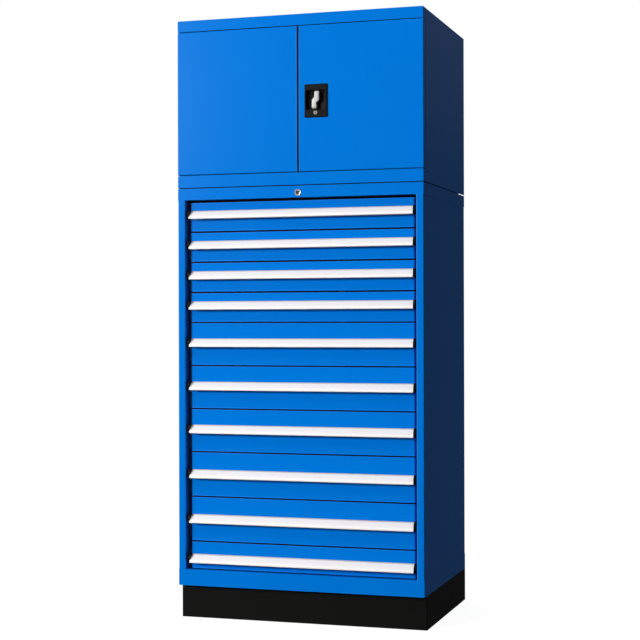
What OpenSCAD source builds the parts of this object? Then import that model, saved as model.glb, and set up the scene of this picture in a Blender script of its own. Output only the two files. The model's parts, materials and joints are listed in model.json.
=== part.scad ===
// Steel storage cabinet for microscope slides: a two-door cupboard standing on a ten-drawer
// unit and a black plinth. Millimetres, +Z up, fronts towards -Y, floor at Z = 0.

/* [Cabinet] */
// Width across the rails, the doors and the cap
cabinet_w = 762; // [660:1:900]
// Depth from the frame face to the back panel
cabinet_d = 550; // [520:1:700]
// Thickness of the housing sheet
sheet = 1.5; // [1.2:0.1:2]
// Distance that the drawer unit's side panels lie inside its rails
side_inset = 1; // [0.5:0.1:2]
// Outside radius of the sheet's bends
bend_r = 2.5; // [2:0.1:3]

/* [Plinth] */
// Height of the plinth
plinth_h = 100; // [70:1:160]
// Distance that the plinth's front stands back from the frame face
plinth_recess = 28; // [10:1:60]
// Thickness of the plinth sheet
plinth_sheet = 2; // [1.5:0.1:4]
// Width of the flanges folded inwards at the top and bottom of the plinth
plinth_flange = 40; // [30:1:60]
// Diameter of the four floor anchor holes
anchor_hole_d = 12; // [8:0.5:16]
// Distance of the anchor holes from the plinth's outer faces
anchor_inset = 22; // [18:1:24]

/* [Drawer unit] */
// Height of the rail under the lowest drawer
bottom_rail_h = 48; // [40:1:80]
// Height of the rail that carries the central lock
top_rail_h = 34.5; // [34:0.5:60]
// Width of the posts beside the drawers
post_w = 22; // [18:1:40]
// Depth of the front posts
post_d = 40; // [30:1:50]
// Distance that the drawer fronts stand back from the frame face
front_recess = 22; // [18:1:26]

/* [Drawers] */
// Height taken by each of the four shallow drawers at the top
shallow_pitch = 91; // [84:1:110]
// Height taken by each of the three middle drawers
middle_pitch = 130; // [100:1:150]
// Height taken by each of the two deep drawers
deep_pitch = 135; // [110:1:160]
// Height taken by the drawer at the bottom
last_pitch = 84; // [80:1:110]
// Gap between one drawer front and the next
front_gap = 3; // [2:0.5:5]
// Gap between the top rail and the highest drawer front
top_gap = 5; // [2:0.5:8]
// Gap between a drawer front and the post beside it
front_side_gap = 11.5; // [9:0.5:13]
// Depth of the flanges folded back round a drawer front
front_flange = 13; // [8:0.5:16]
// Thickness of the drawer sheet
tray_sheet = 1.2; // [1:0.1:1.5]
// Room behind the drawer trays for the lock bar and its guides
rear_room = 43.5; // [40:0.5:80]
// Height of the tray's floor above the bottom of its front
tray_lift = 8; // [6:0.5:12]
// Distance from the tray's rim up to the top of its front
rim_drop = 14; // [10:1:20]

/* [Slides] */
// Height of the slide members
slide_h = 40; // [36:1:44]
// Thickness of the slide steel
slide_wall = 1.2; // [1:0.1:1.4]
// Running clearance between two members of a slide
slide_clear = 0.5; // [0.3:0.05:0.6]
// Height of a slide's middle above the bottom of its drawer front
slide_rise = 31; // [30:0.5:34]
// Length of a slide member that stays held when the drawer is fully open
slide_hold = 18; // [16:1:100]
// Spread of each perforated upright along the depth
upright_d = 28; // [20:1:36]

/* [Drawer handles] */
// Height of the handle extrusion
handle_h = 25; // [22:0.5:30]
// Distance that the handle's lip reaches out from the drawer front
handle_reach = 26; // [22:0.5:28]
// Wall thickness of the extrusion
handle_wall = 1.8; // [1.4:0.1:2.4]
// Distance from the top of a shallow front down to its handle
shallow_drop = 26.5; // [20:0.5:34]
// Distance from the top of a middle front down to its handle
middle_drop = 47.5; // [30:0.5:60]
// Distance from the top of a deep front down to its handle
deep_drop = 52.5; // [30:0.5:60]
// Distance from the top of the lowest front down to its handle
last_drop = 37.5; // [30:0.5:45]
// Thickness of the black end caps
end_cap_t = 8; // [4:0.5:8]

/* [Central lock] */
// Diameter of the lock's chromed collar
lock_collar_d = 20; // [18:0.5:24]
// Diameter of the turning plug
lock_plug_d = 12; // [10:0.5:13]
// Diameter of the shaft that runs to the back of the cabinet
lock_shaft_d = 8; // [6:0.5:9]
// Rise of the lock bar for a quarter turn of the key
lock_travel = 11; // [9:0.5:12]
// Width of the lock bar
lock_bar_w = 18; // [14:1:22]
// Thickness of the lock bar and its fingers
lock_bar_t = 5; // [4:0.5:6]
// Reach of each finger from the side of the bar
finger_reach = 15; // [12:0.5:16]

/* [Cupboard] */
// Height of the cupboard from the drawer unit's top to the top of the cap
cupboard_h = 506; // [420:1:800]
// Height of the rail under the doors
door_rail_h = 39; // [34:1:60]
// Height of the cap's skirt
cap_h = 32; // [28:0.5:50]
// Gap left between the two units by the cupboard's feet
unit_gap = 3; // [2:0.5:5]
// Gap left open under the cupboard's back panel
back_foot_gap = 8; // [6:0.5:12]
// Width of the flanges that the doors shut against
jamb_w = 20; // [16:1:26]
// Height of the folded shelf
shelf_h = 25; // [20:1:35]
// Distance of the shelf's front edge from the frame face
shelf_setback = 62; // [60:1:90]
// Height of the shelf's underside above the cupboard floor
shelf_rise = 205; // [180:1:230]
// Diameter of the two wall anchor holes in the cupboard's back
wall_hole_d = 9; // [6:0.5:12]
// Spacing of the wall anchor holes
wall_hole_spacing = 600; // [400:1:620]

/* [Doors] */
// Thickness of the folded doors
door_t = 22; // [20:0.5:24]
// Gap between the two doors
door_gap = 6; // [4:0.5:8]
// Gap above and below the doors
door_end_gap = 2; // [1.5:0.25:3]
// Width of the hems folded behind the door
door_hem = 18; // [14:1:24]
// Distance of the hinge pins from the cabinet's side
pin_inset = 10; // [9:0.5:12]
// Diameter of the hinge pins
pin_d = 6; // [5:0.5:8]
// Radial play of the hinge pins in their plates
pin_play = 0.05; // [0.02:0.01:0.1]

/* [Turn handle] */
// Distance of the handle's axis from the middle of the cabinet
grip_x = 56; // [50:1:90]
// Height of the handle's axis above the bottom of the doors
grip_rise = 209; // [180:1:240]
// Width of the black handle pan
pan_w = 72; // [71:1:80]
// Height of the black handle pan
pan_h = 98; // [95:1:110]
// Distance of the handle's axis above the middle of the pan
pan_offset = 2.5; // [2:0.5:5]
// Distance of the handle's axis to the left of the middle of the pan
pan_shift = 2; // [0:0.5:2.5]
// Width of the hollow that the grip turns in
hollow_w = 59; // [57:0.5:60]
// Height of the hollow
hollow_h = 57; // [56:0.5:58]
// Depth of the hollow behind the door face
hollow_depth = 12; // [10:0.5:14]
// Length of the grip from end to end
grip_l = 51; // [48:0.5:52]
// Width of each arm of the grip
grip_arm_w = 13.5; // [12:0.5:14.5]
// Sideways step from one arm of the grip to the other
grip_step = 7.5; // [6:0.5:8]
// Diameter of the spindle
spindle_d = 10; // [8:0.5:12]
// Travel of each locking rod for a quarter turn of the grip
rod_travel = 15; // [13:0.5:16]
// Diameter of the locking rods
rod_d = 8; // [6:0.5:9]
// Distance of the small cylinder lock below the handle's axis
pan_lock_drop = 37.5; // [37.5:0.5:40]
// Diameter of the small cylinder lock under the grip
pan_lock_d = 12.5; // [11:0.5:13]

/* [Gears] */
// Teeth on each pinion
gear_teeth = 12; // [12:2:16]
// Play between meshing teeth along the pitch line
gear_play = 0.3; // [0.2:0.05:0.4]
// Pressure angle of the teeth
pressure_angle = 20; // [20:1:25]

/* [Hidden] */
$fn = 16;
function drawer_name(n) = str("drawer_", n < 10 ? "0" : "", n);
DRAWERS = [1:10];
FIXED_NODES = [
    "plinth", "lower_shell", "slide_uprights", "cabinet_slides", "lock_barrel", "lock_shaft",
    "lock_bar", "upper_shell", "top_cap", "shelf", "shelf_clips", "door_catches", "left_door",
    "right_door", "handle_pan", "turn_grip", "upper_rod", "lower_rod", "rod_case", "pan_lock_plug"
];

// Colours of the finishes
BLUE = "#0078dc";
BLACK = "#161616";
STEEL = "#a9adb2";
ALUMINIUM = "#e9e8ec";
CHROME = "#c9ccd0";
ZINC = "#d8d6d4";

// The handle lip stands proud of the frame face, and the footprint is centred on the origin
handle_proud = handle_reach - front_recess;
face_y = handle_proud - (cabinet_d + handle_proud) / 2;
half_w = cabinet_w / 2;
eps = 0.01;
// Gap between pieces that nearly touch, and radial play of shafts that turn in their bores
seat_gap = 0.3;
shaft_play = 0.05;

// Levels of the drawer unit
DRAWER_PITCHES = [
    shallow_pitch, shallow_pitch, shallow_pitch, shallow_pitch,
    middle_pitch, middle_pitch, middle_pitch,
    deep_pitch, deep_pitch,
    last_pitch
];
DRAWER_DROPS = [
    shallow_drop, shallow_drop, shallow_drop, shallow_drop,
    middle_drop, middle_drop, middle_drop,
    deep_drop, deep_drop,
    last_drop
];
function sum_to(list, count) = count == 0 ? 0 : list[count - 1] + sum_to(list, count - 1);
drawers_h = sum_to(DRAWER_PITCHES, len(DRAWER_PITCHES));
opening_z0 = plinth_h + bottom_rail_h;
fronts_z1 = opening_z0 + drawers_h - front_gap / 2;
opening_z1 = fronts_z1 + top_gap;
lower_top = opening_z1 + top_rail_h;
function drawer_z0(n) = fronts_z1 - sum_to(DRAWER_PITCHES, n) + front_gap;
function drawer_z1(n) = fronts_z1 - sum_to(DRAWER_PITCHES, n - 1);
function slide_z(n) = drawer_z0(n) + slide_rise;
function handle_z(n) = drawer_z1(n) - DRAWER_DROPS[n - 1];

// Widths of the drawer unit, from the middle outwards
side_x = half_w - side_inset;
post_x = half_w - post_w;
front_x = post_x - front_side_gap;
slide_space = 13;
tray_x = post_x - slide_space;
tray_rim = 7;
back_in = cabinet_d - sheet;
tray_back = back_in - rear_room;

// Slides: they reach a little past the trays, and a drawer opens until only slide_hold is held
slide_y0 = post_d + 1;
slide_past_tray = 4;
slide_len = tray_back + slide_past_tray - slide_y0;
drawer_travel = slide_len - slide_hold;
slide_lip = 4.2;
lip_gap = 1.4;
member_w = (slide_space - lip_gap) / 2;
hook_t = 1.5;
hook_h = 10;
UPRIGHT_YS = [slide_y0, slide_y0 + slide_len - upright_d];

// Levels of the cupboard
upper_z0 = lower_top + unit_gap;
floor_z = lower_top + door_rail_h;
cabinet_h = lower_top + cupboard_h;
cap_z0 = cabinet_h - cap_h;
ceiling_z = cap_z0 - sheet;
door_z0 = floor_z + door_end_gap;
door_z1 = ceiling_z - door_end_gap;
wall_hole_drop = 40;
jamb_clear = 4.5;
jamb_y = door_t + jamb_clear;

// Pinions: the pitch radius turns a quarter turn into the travel of the rack
quarter_turn = PI / 2;
rod_pinion_r = rod_travel / quarter_turn;
lock_pinion_r = lock_travel / quarter_turn;
addendum = 0.7;
dedendum = 1;
// Teeth that pass the pinion in a quarter turn
turn_teeth = ceil(gear_teeth / 4);

// Places of the turn handle and its rods
grip_z = door_z0 + grip_rise;
pan_z = grip_z - pan_offset;
pan_lock_z = grip_z - pan_lock_drop;
pan_lock_body_d = pan_lock_d - 2;
pan_flange_t = 2;
pan_wall = 2;
pan_margin = 4.2;
pan_back = hollow_depth + pan_wall;
rod_setback = 9;
rod_y = door_t + rod_setback;
rod_y0 = rod_y - rod_d / 2;
rod_y1 = rod_y + rod_d / 2;
rod_offset = rod_pinion_r + dedendum * 2 * rod_pinion_r / gear_teeth + rod_d / 2;
rod_rest_gap = 3;
spindle_neck_d = spindle_d - 2;
rod_hole_play = 0.75;
ROD_HOLES = [[grip_x - rod_offset, ceiling_z], [grip_x + rod_offset, floor_z - sheet]];

// Places of the central lock
lock_drop = 20;
lock_z = lower_top - lock_drop;
lock_body_d = lock_collar_d - 2.5;
lock_body_l = 20;
lock_bar_gap = 5;
bar_y = tray_back + lock_bar_gap;
bar_y1 = bar_y + lock_bar_t;
bearing_y = bar_y1 + 8;
catch_rise = 34;
catch_depth = 15;
catch_drop = 10;
catch_t = 2;
finger_h = 8;
finger_gap = 2;
lock_bar_x1 = -lock_pinion_r - dedendum * 2 * lock_pinion_r / gear_teeth;
lock_bar_x0 = lock_bar_x1 - lock_bar_w;
lock_bar_z0 = drawer_z0(10) + 15;
guide_rise = 30;
guide_drop = 150;
GUIDE_ZS = [opening_z0 + guide_rise, opening_z1 - guide_drop];

// Block between two corners
module block(from, to) {
    translate(from)
        cube(to - from);
}

// Moves a shape from the frame-face frame, where Y = 0 is the face, to the cabinet's own frame
module placed() {
    translate([0, face_y, 0])
        children();
}

// Draws its children on the right and, mirrored, on the left
module both_sides() {
    children();
    mirror([1, 0, 0])
        children();
}

// Extrudes a profile drawn in the Y-Z plane along X
module along_x(from, to) {
    translate([from, 0, 0])
        rotate([90, 0, 90])
            linear_extrude(to - from)
                children();
}

// Extrudes a profile drawn in the X-Z plane along Y, from the front towards the back
module along_y(from, to) {
    translate([0, to, 0])
        rotate([90, 0, 0])
            linear_extrude(to - from)
                children();
}

// Round bar along Y
module round_bar(x, z, d, from, to) {
    translate([x, to, z])
        rotate([90, 0, 0])
            cylinder(h = to - from, d = d);
}

// Turned collar along Y whose front rim is bevelled
module collar(x, z, d, bevel, from, to) {
    round_bar(x, z, d, from + bevel, to);
    translate([x, from + bevel + eps, z])
        rotate([90, 0, 0])
            cylinder(h = bevel + eps, d1 = d, d2 = d - 2 * bevel);
}

// Rectangle with rounded corners, centred
module rounded_rect(w, h, r) {
    union() {
        square([w - 2 * r, h], center = true);
        square([w, h - 2 * r], center = true);
        for (x = [-1, 1], y = [-1, 1])
            translate([x * (w / 2 - r), y * (h / 2 - r)])
                circle(r);
    }
}

// Rectangle from the origin to [w, d] with bends at its two corners on the line Y = 0
module bent_rect(w, d, r) {
    translate([0, r])
        square([w, d - r]);
    translate([r, 0])
        square([w - 2 * r, d]);
    for (x = [r, w - r])
        translate([x, r])
            circle(r);
}

// Block whose four front edges are bends: one profile along Z meets another along X in mitres
module bent_block(from, to, r) {
    size = to - from;
    intersection() {
        translate(from)
            linear_extrude(size[2])
                bent_rect(size[0], size[1], r);
        translate(from)
            rotate([90, 0, 90])
                linear_extrude(size[0])
                    mirror([1, -1])
                        bent_rect(size[2], size[1], r);
    }
}

// Outline of the housing from above, with its two front corners bent
module housing_outline() {
    translate([-half_w, 0])
        bent_rect(2 * half_w, cabinet_d, bend_r);
}

// Outline of a rail and the skirts beside it, open at the back, with sides of that thickness
module skirt_outline(side_t) {
    difference() {
        housing_outline();
        translate([-half_w + side_t, sheet])
            square([2 * (half_w - side_t), cabinet_d]);
    }
}

// Involute of a circle as an angle in degrees
function involute_angle(base_r, r) =
    let (a = acos(min(1, base_r / r)))
    tan(a) * 180 / PI - a;

// Outline of a spur pinion with involute flanks and a tooth on the +X axis
module pinion_outline(pitch_r, teeth) {
    module_size = 2 * pitch_r / teeth;
    base_r = pitch_r * cos(pressure_angle);
    tip_r = pitch_r + addendum * module_size;
    root_r = pitch_r - dedendum * module_size;
    half_tooth = 90 / teeth - gear_play / 4 / pitch_r * 180 / PI;
    steps = 3;
    radii = [for (i = [0:steps]) base_r + (tip_r - base_r) * i / steps];
    flank = [
        for (r = radii)
            [r, half_tooth + involute_angle(base_r, pitch_r) - involute_angle(base_r, r)]
    ];
    root_half = flank[0][1];
    points = [
        for (t = [0:teeth - 1])
            let (turn = 360 * t / teeth)
            each concat(
                [[root_r * cos(turn - root_half), root_r * sin(turn - root_half)]],
                [for (p = flank) [p[0] * cos(turn - p[1]), p[0] * sin(turn - p[1])]],
                [for (i = [steps:-1:0])
                    [flank[i][0] * cos(turn + flank[i][1]), flank[i][0] * sin(turn + flank[i][1])]],
                [[root_r * cos(turn + root_half), root_r * sin(turn + root_half)]]
            )
    ];
    polygon(points);
}

// Teeth of a rack along Z: they point to +X from the pitch line at X = 0, with a gap at Z = 0
module rack_teeth(pitch_r, teeth, first, last) {
    module_size = 2 * pitch_r / teeth;
    pitch = PI * module_size;
    half = pitch / 4 - gear_play / 4;
    tip = addendum * module_size;
    root = dedendum * module_size;
    slope = tan(pressure_angle);
    for (i = [first:last])
        translate([0, (i + 0.5) * pitch])
            polygon([
                [-root - eps, -half - root * slope],
                [tip, -half + tip * slope],
                [tip, half - tip * slope],
                [-root - eps, half + root * slope]
            ]);
}

// Plinth: a ring of folded sheet with an inward flange at the top and at the floor
module plinth() {
    color(BLACK)
        placed()
            difference() {
                translate([-half_w, plinth_recess, 0])
                    linear_extrude(plinth_h)
                        bent_rect(2 * half_w, cabinet_d - plinth_recess, bend_r);
                block(
                    [-half_w + plinth_sheet, plinth_recess + plinth_sheet, plinth_sheet],
                    [half_w - plinth_sheet, cabinet_d - plinth_sheet, plinth_h - plinth_sheet]
                );
                block(
                    [-half_w + plinth_flange, plinth_recess + plinth_flange, -1],
                    [half_w - plinth_flange, cabinet_d - plinth_flange, plinth_h + 1]
                );
                for (x = [-1, 1], y = [plinth_recess + anchor_inset, cabinet_d - anchor_inset])
                    translate([x * (half_w - anchor_inset), y, -1])
                        cylinder(h = plinth_sheet + 2, d = anchor_hole_d);
            }
}

// Side panel of the drawer unit, folded round the front post, as one profile along Z
module lower_side() {
    w = side_x - post_x;
    z0 = plinth_h + sheet;
    translate([post_x, 0, z0])
        linear_extrude(lower_top - sheet - z0)
            union() {
                difference() {
                    bent_rect(w, post_d, bend_r);
                    translate([sheet, sheet])
                        square([w - 2 * sheet, post_d - 2 * sheet]);
                }
                translate([w - sheet, post_d / 2])
                    square([sheet, cabinet_d - post_d / 2]);
            }
}

// Housing of the drawer unit: welded panels, posts, rails and the bearing for the lock shaft
module lower_shell() {
    bearing_t = 2;
    rail_flange = front_recess - 4;
    color(BLUE)
        placed()
            difference() {
                union() {
                    both_sides()
                        lower_side();
                    block([-side_x, back_in, plinth_h], [side_x, cabinet_d, lower_top]);
                    // Base with its rail, which wraps the posts
                    translate([0, 0, plinth_h])
                        linear_extrude(sheet)
                            housing_outline();
                    rail_ring(plinth_h, opening_z0);
                    block([-post_x, 0, opening_z0 - sheet], [post_x, rail_flange, opening_z0]);
                    // Top with its rail
                    translate([0, 0, lower_top - sheet])
                        linear_extrude(sheet)
                            housing_outline();
                    rail_ring(opening_z1, lower_top);
                    block([-post_x, 0, opening_z1], [post_x, rail_flange, opening_z1 + sheet]);
                    // Hanging plate that carries the back end of the lock shaft
                    block(
                        [-lock_shaft_d * 2, bearing_y, opening_z1],
                        [lock_shaft_d * 2, bearing_y + bearing_t, lower_top - sheet + eps]
                    );
                    // Two guides that hold the lock bar off the back panel
                    for (z = GUIDE_ZS)
                        lock_guide(z);
                }
                round_bar(0, lock_z, lock_body_d, -1, sheet + 1);
                round_bar(0, lock_z, lock_shaft_d + 2 * shaft_play, bearing_y - 1, bearing_y + bearing_t + 1);
            }
}

// Rail folded round the front and both sides of the drawer unit
module rail_ring(z0, z1) {
    translate([0, 0, z0])
        linear_extrude(z1 - z0)
            skirt_outline(side_inset + sheet);
}

// Folded guide round the lock bar, welded to the back panel
module lock_guide(z) {
    play = seat_gap;
    wall = 2;
    web = 3;
    hold = 5;
    guide_h = 20;
    x0 = lock_bar_x0 - play - web;
    y0 = bar_y - play - wall;
    y1 = bar_y1 + play;
    translate([x0, 0, z])
        linear_extrude(guide_h)
            union() {
                translate([0, y0])
                    square([web, back_in + eps - y0]);
                translate([0, y1])
                    square([lock_bar_x1 + play - x0, wall]);
                translate([0, y0])
                    square([lock_bar_x0 + hold - x0, wall]);
            }
}

// Perforated uprights that the fixed slide members hook into
module slide_uprights() {
    color(STEEL)
        placed()
            both_sides()
                for (y = UPRIGHT_YS)
                    upright(y);
}

// One upright: a square tube with a slot for every hook
module upright(y) {
    z0 = plinth_h + sheet;
    z1 = lower_top - sheet;
    hook_y = y + upright_d / 2;
    slot = hook_h / 2 + seat_gap;
    difference() {
        block([post_x, y, z0], [side_x - sheet, y + upright_d, z1]);
        block(
            [post_x + sheet, y + sheet, z0 - 1],
            [side_x, y + upright_d - sheet, z1 + 1]
        );
        for (n = DRAWERS)
            block(
                [post_x - 1, hook_y - hook_t, slide_z(n) - slot],
                [post_x + sheet + 1, hook_y + hook_t, slide_z(n) + slot]
            );
    }
}

// Outline of a slide's channel, open towards +X: web, two flanges and two lips
module channel_outline() {
    half = slide_h / 2;
    difference() {
        translate([0, -half])
            square([member_w, slide_h]);
        translate([slide_wall, -half + slide_wall])
            square([member_w - 2 * slide_wall, slide_h - 2 * slide_wall]);
        translate([slide_wall, -half + slide_lip])
            square([member_w, slide_h - 2 * slide_lip]);
    }
}

// Outline of the middle member: a web with toes that run behind both channels' lips
module runner_outline() {
    half = slide_h / 2;
    toe_top = half - slide_wall - slide_clear;
    arm_top = half - slide_lip - slide_clear;
    arm_z = arm_top - slide_wall;
    x0 = slide_wall + slide_clear;
    x1 = slide_space - slide_wall - slide_clear;
    for (s = [-1, 1])
        scale([1, s])
            union() {
                translate([x0, arm_z])
                    square([x1 - x0, slide_wall]);
                translate([x0, arm_z])
                    square([slide_wall, toe_top - arm_z]);
                translate([x1 - slide_wall, arm_z])
                    square([slide_wall, toe_top - arm_z]);
            }
    translate([slide_space / 2 - slide_wall / 2, -arm_top])
        square([slide_wall, 2 * arm_top]);
}

// Fixed slide members, one on each side of every drawer, with their hooks
module cabinet_slides() {
    color(STEEL)
        placed()
            both_sides()
                for (n = DRAWERS)
                    translate([0, 0, slide_z(n)])
                        union() {
                            along_y(slide_y0, slide_y0 + slide_len)
                                translate([post_x, 0])
                                    mirror([1, 0])
                                        channel_outline();
                            for (y = UPRIGHT_YS)
                                translate([0, y + upright_d / 2, 0])
                                    block(
                                        [post_x - eps, -hook_t / 2, -hook_h / 2],
                                        [post_x + sheet + 2, hook_t / 2, hook_h / 2]
                                    );
                        }
}

// Middle members of one drawer's pair of slides
module runners(n) {
    setback = 2;
    shorter = 12;
    y0 = slide_y0 + setback;
    color(STEEL)
        placed()
            both_sides()
                translate([0, 0, slide_z(n)])
                    along_y(y0, y0 + slide_len - shorter)
                        translate([post_x, 0])
                            mirror([1, 0])
                                runner_outline();
}

// One drawer: folded front, open tray, the slide members fixed to it and the lock catch
module drawer(n) {
    z0 = drawer_z0(n);
    z1 = drawer_z1(n);
    y0 = front_recess;
    skin = y0 + sheet;
    flange_y = y0 + front_flange;
    member_y = flange_y + 1;
    member_l = slide_len - 6;
    tray_z0 = z0 + tray_lift;
    tray_z1 = z1 - rim_drop;
    rim_z0 = tray_z1 - tray_sheet;
    color(BLUE)
        placed()
            union() {
                // Front with flanges folded back all round
                difference() {
                    bent_block([-front_x, y0, z0], [front_x, flange_y, z1], bend_r);
                    block(
                        [-front_x + sheet, skin, z0 + sheet],
                        [front_x - sheet, flange_y + 1, z1 - sheet]
                    );
                }
                // Open tray
                difference() {
                    block([-tray_x, skin - eps, tray_z0], [tray_x, tray_back, tray_z1]);
                    block(
                        [-tray_x + tray_sheet, skin - 1, tray_z0 + tray_sheet],
                        [tray_x - tray_sheet, tray_back - tray_sheet, tray_z1 + 1]
                    );
                }
                // Rim folded inwards along the sides and the back
                both_sides()
                    block([tray_x - tray_rim, skin - eps, rim_z0], [tray_x, tray_back, tray_z1]);
                block([-tray_x, tray_back - tray_rim, rim_z0], [tray_x, tray_back, tray_z1]);
                // Moving slide members on the tray's sides
                both_sides()
                    translate([0, 0, slide_z(n)])
                        along_y(member_y, member_y + member_l)
                            translate([tray_x, 0])
                                channel_outline();
                lock_catch(n);
            }
}

function catch_z(n) = drawer_z0(n) + tray_lift + catch_rise;

// Hooked plate behind a drawer that the lock bar's finger holds when it is raised
module lock_catch(n) {
    side_gap = 3;
    overlap = 2;
    z = catch_z(n);
    x0 = lock_bar_x1 + side_gap;
    x1 = lock_bar_x1 + finger_reach + overlap;
    y1 = tray_back + catch_depth;
    block([x0, tray_back - eps, z], [x1, y1, z + catch_t]);
    block([x0, y1 - catch_t, z - catch_drop], [x1, y1, z + catch_t]);
}

// Handle outline in the Y-Z plane: the drawer front is at Y = 0 and the handle's top at Z = 0
module handle_outline() {
    r = handle_reach;
    h = handle_h;
    w = handle_wall;
    lip_h = 6.5;
    difference() {
        // Outer shape: sloping face with a label channel, then the upright lip
        polygon([
            [0, 0],
            [-2.5, 0],
            [-4, -1.6],
            [-3.2, -2.6],
            [-r + 3.4, -h + lip_h + 1.2],
            [-r + 2.2, -h + lip_h + 1.4],
            [-r + 0.4, -h + lip_h - 0.4],
            [-r, -h + lip_h - 1.6],
            [-r, -h + 1.4],
            [-r + 1.2, -h],
            [0, -h]
        ]);
        // Finger hollow, open at the bottom
        polygon([
            [-w, -w - 3.4],
            [-3.2 - w * 0.2, -2.6 - w * 1.2],
            [-r + w + 1.6, -h + lip_h - 1],
            [-r + w, -h + lip_h - 2.8],
            [-r + w, -h - 1],
            [-w, -h - 1]
        ]);
    }
}

// Aluminium handle across the whole drawer front
module handle(n) {
    color(ALUMINIUM)
        placed()
            translate([0, front_recess, handle_z(n)])
                along_x(-front_x, front_x)
                    handle_outline();
}

// Black caps that close the ends of a handle
module end_caps(n) {
    r = 16.5;
    rise = 1.5;
    centre_y = 7;
    centre_drop = 0.85 * r;
    color(BLACK)
        placed()
            both_sides()
                translate([0, front_recess, handle_z(n)])
                    along_x(front_x, front_x + end_cap_t)
                        intersection() {
                            translate([-centre_y, rise - centre_drop])
                                circle(r);
                            translate([-handle_reach, -handle_h])
                                square([handle_reach, handle_h + rise]);
                        }
}

// Chromed lock barrel in the top rail, with its fixing nut behind the rail
module lock_barrel() {
    collar_t = 2;
    collar_bevel = 0.8;
    body_play = 0.1;
    nut_t = 4;
    nut_w = lock_body_d + 7;
    color(CHROME)
        placed()
            difference() {
                union() {
                    collar(0, lock_z, lock_collar_d, collar_bevel, -collar_t, 0);
                    round_bar(0, lock_z, lock_body_d - 2 * body_play, -eps, lock_body_l);
                    translate([0, sheet + nut_t, lock_z])
                        rotate([90, 0, 0])
                            cylinder(h = nut_t, d = nut_w, $fn = 6);
                }
                round_bar(0, lock_z, lock_plug_d + 2 * shaft_play, -collar_t - 1, lock_body_l + 1);
            }
}

// Turning plug, the long shaft behind it and the pinion at the back
module lock_shaft() {
    overhang = 1.5;
    key_w = 1.6;
    key_h = 7;
    key_depth = 10;
    color(CHROME)
        placed()
            union() {
                difference() {
                    round_bar(0, lock_z, lock_plug_d, -2.5, lock_body_l + 1);
                    block(
                        [-key_w / 2, -3, lock_z - key_h / 2],
                        [key_w / 2, key_depth, lock_z + key_h / 2]
                    );
                }
                round_bar(0, lock_z, lock_shaft_d, lock_body_l, bearing_y + 4);
                translate([0, 0, lock_z])
                    along_y(bar_y - overhang, bar_y1 + overhang)
                        pinion_outline(lock_pinion_r, gear_teeth);
            }
}

// Lock bar: a rack at the top, and one finger for every drawer's catch
module lock_bar() {
    module_size = 2 * lock_pinion_r / gear_teeth;
    bar_h = lock_z + 2.5 * module_size - lock_bar_z0;
    color(STEEL)
        placed()
            along_y(bar_y, bar_y1) {
                translate([lock_bar_x0, lock_bar_z0])
                    square([lock_bar_w, bar_h]);
                // Rack that meshes with the shaft's pinion
                intersection() {
                    translate([-lock_pinion_r, lock_z])
                        rack_teeth(lock_pinion_r, gear_teeth, -turn_teeth - 1, 1);
                    translate([lock_bar_x0, lock_bar_z0])
                        square([2 * lock_bar_w, bar_h]);
                }
                for (n = DRAWERS)
                    translate([lock_bar_x1 - 1, catch_z(n) - catch_drop - finger_gap - finger_h])
                        square([finger_reach + 1, finger_h]);
            }
}

// Cupboard housing: base with its rail, sides, back, ceiling with the pin plates, and jambs
module upper_shell() {
    foot_inset = 60;
    foot_w = 36;
    color(BLUE)
        placed()
            difference() {
                union() {
                    translate([0, 0, floor_z - sheet])
                        linear_extrude(sheet)
                            housing_outline();
                    translate([0, 0, upper_z0])
                        linear_extrude(floor_z - upper_z0)
                            skirt_outline(sheet);
                    both_sides()
                        cupboard_side();
                    block([-half_w, back_in, lower_top + back_foot_gap], [half_w, cabinet_d, cap_z0]);
                    translate([0, 0, ceiling_z])
                        linear_extrude(sheet)
                            housing_outline();
                    // Feet that leave a gap above the drawer unit
                    for (x = [-1, 1], y = [foot_inset, cabinet_d - 2 * foot_inset])
                        translate([x * (half_w - foot_inset), y, 0])
                            block([-foot_w / 2, 0, lower_top], [foot_w / 2, foot_w, floor_z - eps]);
                }
                // Bores of the hinge pins
                both_sides()
                    for (z = [floor_z - sheet - 1, ceiling_z - 1])
                        translate([half_w - pin_inset, door_t / 2, z])
                            cylinder(h = sheet + 2, r = pin_d / 2 + pin_play);
                // Holes that the locking rods enter
                for (hole = ROD_HOLES)
                    translate([hole[0], rod_y, hole[1] - 1])
                        cylinder(h = sheet + 2, d = rod_d + 2 * rod_hole_play);
                // Wall anchor holes
                for (x = [-1, 1] * wall_hole_spacing / 2)
                    round_bar(x, cap_z0 - wall_hole_drop, wall_hole_d, back_in - 1, cabinet_d + 1);
            }
}

// Side of the cupboard with the flange that the door shuts on, as one profile along Z
module cupboard_side() {
    jamb_d = 12;
    translate([half_w - jamb_w, jamb_y, floor_z])
        linear_extrude(cap_z0 - floor_z)
            difference() {
                bent_rect(jamb_w, cabinet_d - jamb_y, bend_r);
                translate([sheet, sheet])
                    square([jamb_w - 2 * sheet, cabinet_d]);
                translate([-1, jamb_d])
                    square([jamb_w + 1 - sheet, cabinet_d]);
            }
}

// Cap: a pan turned upside down over the cupboard
module top_cap() {
    color(BLUE)
        placed()
            difference() {
                intersection() {
                    translate([0, 0, cap_z0])
                        linear_extrude(cap_h)
                            housing_outline();
                    // Bends between the top and the skirt, first at the sides, then at the front
                    along_y(0, cabinet_d)
                        translate([-half_w, cabinet_h])
                            mirror([0, 1])
                                bent_rect(2 * half_w, cap_h, bend_r);
                    along_x(-half_w, half_w)
                        translate([0, cabinet_h])
                            mirror([0, 1])
                                bent_rect(cabinet_d, cap_h, bend_r);
                }
                block(
                    [-half_w + sheet, sheet, cap_z0 - 1],
                    [half_w - sheet, back_in, cabinet_h - sheet]
                );
            }
}

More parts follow.
